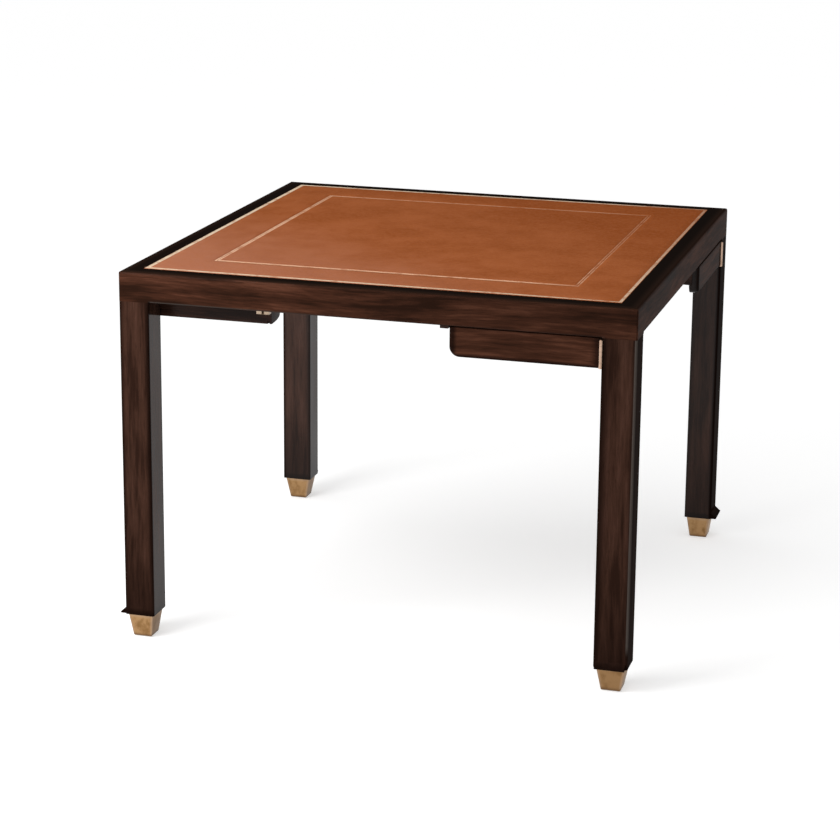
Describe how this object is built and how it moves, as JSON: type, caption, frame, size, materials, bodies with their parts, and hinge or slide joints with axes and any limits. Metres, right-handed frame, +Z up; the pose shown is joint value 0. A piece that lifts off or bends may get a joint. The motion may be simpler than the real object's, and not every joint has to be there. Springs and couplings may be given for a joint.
{
  "type": "mahjong table with drawers",
  "caption": "Square game table with a tooled leather top, flush aprons, legs on tapered brass sabots and quarter-round drawers that swing out from under the aprons.",
  "frame": {"origin": "on the floor under the middle of the table", "axes": "+Z up, -Y towards the front side, +X towards the right side"},
  "size_m": [1.04, 1.04, 0.75],
  "materials": {
    "mahogany": "dark glossy lacquered mahogany",
    "drawer_wood": "dark satin lacquered mahogany",
    "frame_wood": "plain sealed hardwood",
    "board": "plain sealed plywood",
    "leather": "saddle tan, waxed, gilt tooled lines",
    "sabot_brass": "satin brushed",
    "hinge_brass": "polished",
    "screw_brass": "satin",
    "felt": "dark green baize",
    "glide": "matt nylon"
  },
  "bodies": {
    "table_frame": {"apron_front": "mahogany", "apron_right": "mahogany", "apron_back": "mahogany", "apron_left": "mahogany", "leg_front_right": "mahogany", "leg_back_right": "mahogany", "leg_back_left": "mahogany", "leg_front_left": "mahogany", "drawer_cover_front": "drawer_wood", "drawer_cover_right": "drawer_wood", "drawer_cover_back": "drawer_wood", "drawer_cover_left": "drawer_wood", "corner_blocks": "frame_wood", "panel_bearers": "frame_wood", "top_panel": "board", "leather_inset": "leather", "sabot_front_right": "sabot_brass", "sabot_back_right": "sabot_brass", "sabot_back_left": "sabot_brass", "sabot_front_left": "sabot_brass", "hinge_leaves_fixed": "hinge_brass", "hinge_pins": "hinge_brass", "ball_catches": "hinge_brass", "fixed_screws": "screw_brass", "foot_glides": "glide"},
    "drawer_front": {"drawer_front_front": "mahogany", "drawer_wall_front": "drawer_wood", "drawer_bend_front": "drawer_wood", "drawer_floor_front": "drawer_wood", "drawer_felt_front": "felt", "drawer_leaf_front": "hinge_brass", "drawer_strike_front": "hinge_brass", "drawer_screws_front": "screw_brass"},
    "drawer_right": {"drawer_front_right": "mahogany", "drawer_wall_right": "drawer_wood", "drawer_bend_right": "drawer_wood", "drawer_floor_right": "drawer_wood", "drawer_felt_right": "felt", "drawer_leaf_right": "hinge_brass", "drawer_strike_right": "hinge_brass", "drawer_screws_right": "screw_brass"},
    "drawer_back": {"drawer_front_back": "mahogany", "drawer_wall_back": "drawer_wood", "drawer_bend_back": "drawer_wood", "drawer_floor_back": "drawer_wood", "drawer_felt_back": "felt", "drawer_leaf_back": "hinge_brass", "drawer_strike_back": "hinge_brass", "drawer_screws_back": "screw_brass"},
    "drawer_left": {"drawer_front_left": "mahogany", "drawer_wall_left": "drawer_wood", "drawer_bend_left": "drawer_wood", "drawer_floor_left": "drawer_wood", "drawer_felt_left": "felt", "drawer_leaf_left": "hinge_brass", "drawer_strike_left": "hinge_brass", "drawer_screws_left": "screw_brass"}
  },
  "joints": [
    {"name": "drawer_front_swing", "type": "hinge", "parent": "table_frame", "child": "drawer_front", "pos_m": [0.4404, -0.508, 0.659], "axis": [0, 0, 1], "range_deg": [0, 90]},
    {"name": "drawer_right_swing", "type": "hinge", "parent": "table_frame", "child": "drawer_right", "pos_m": [0.508, 0.4404, 0.659], "axis": [0, 0, 1], "range_deg": [0, 90]},
    {"name": "drawer_back_swing", "type": "hinge", "parent": "table_frame", "child": "drawer_back", "pos_m": [-0.4404, 0.508, 0.659], "axis": [0, 0, 1], "range_deg": [0, 90]},
    {"name": "drawer_left_swing", "type": "hinge", "parent": "table_frame", "child": "drawer_left", "pos_m": [-0.508, -0.4404, 0.659], "axis": [0, 0, 1], "range_deg": [0, 90]}
  ]
}
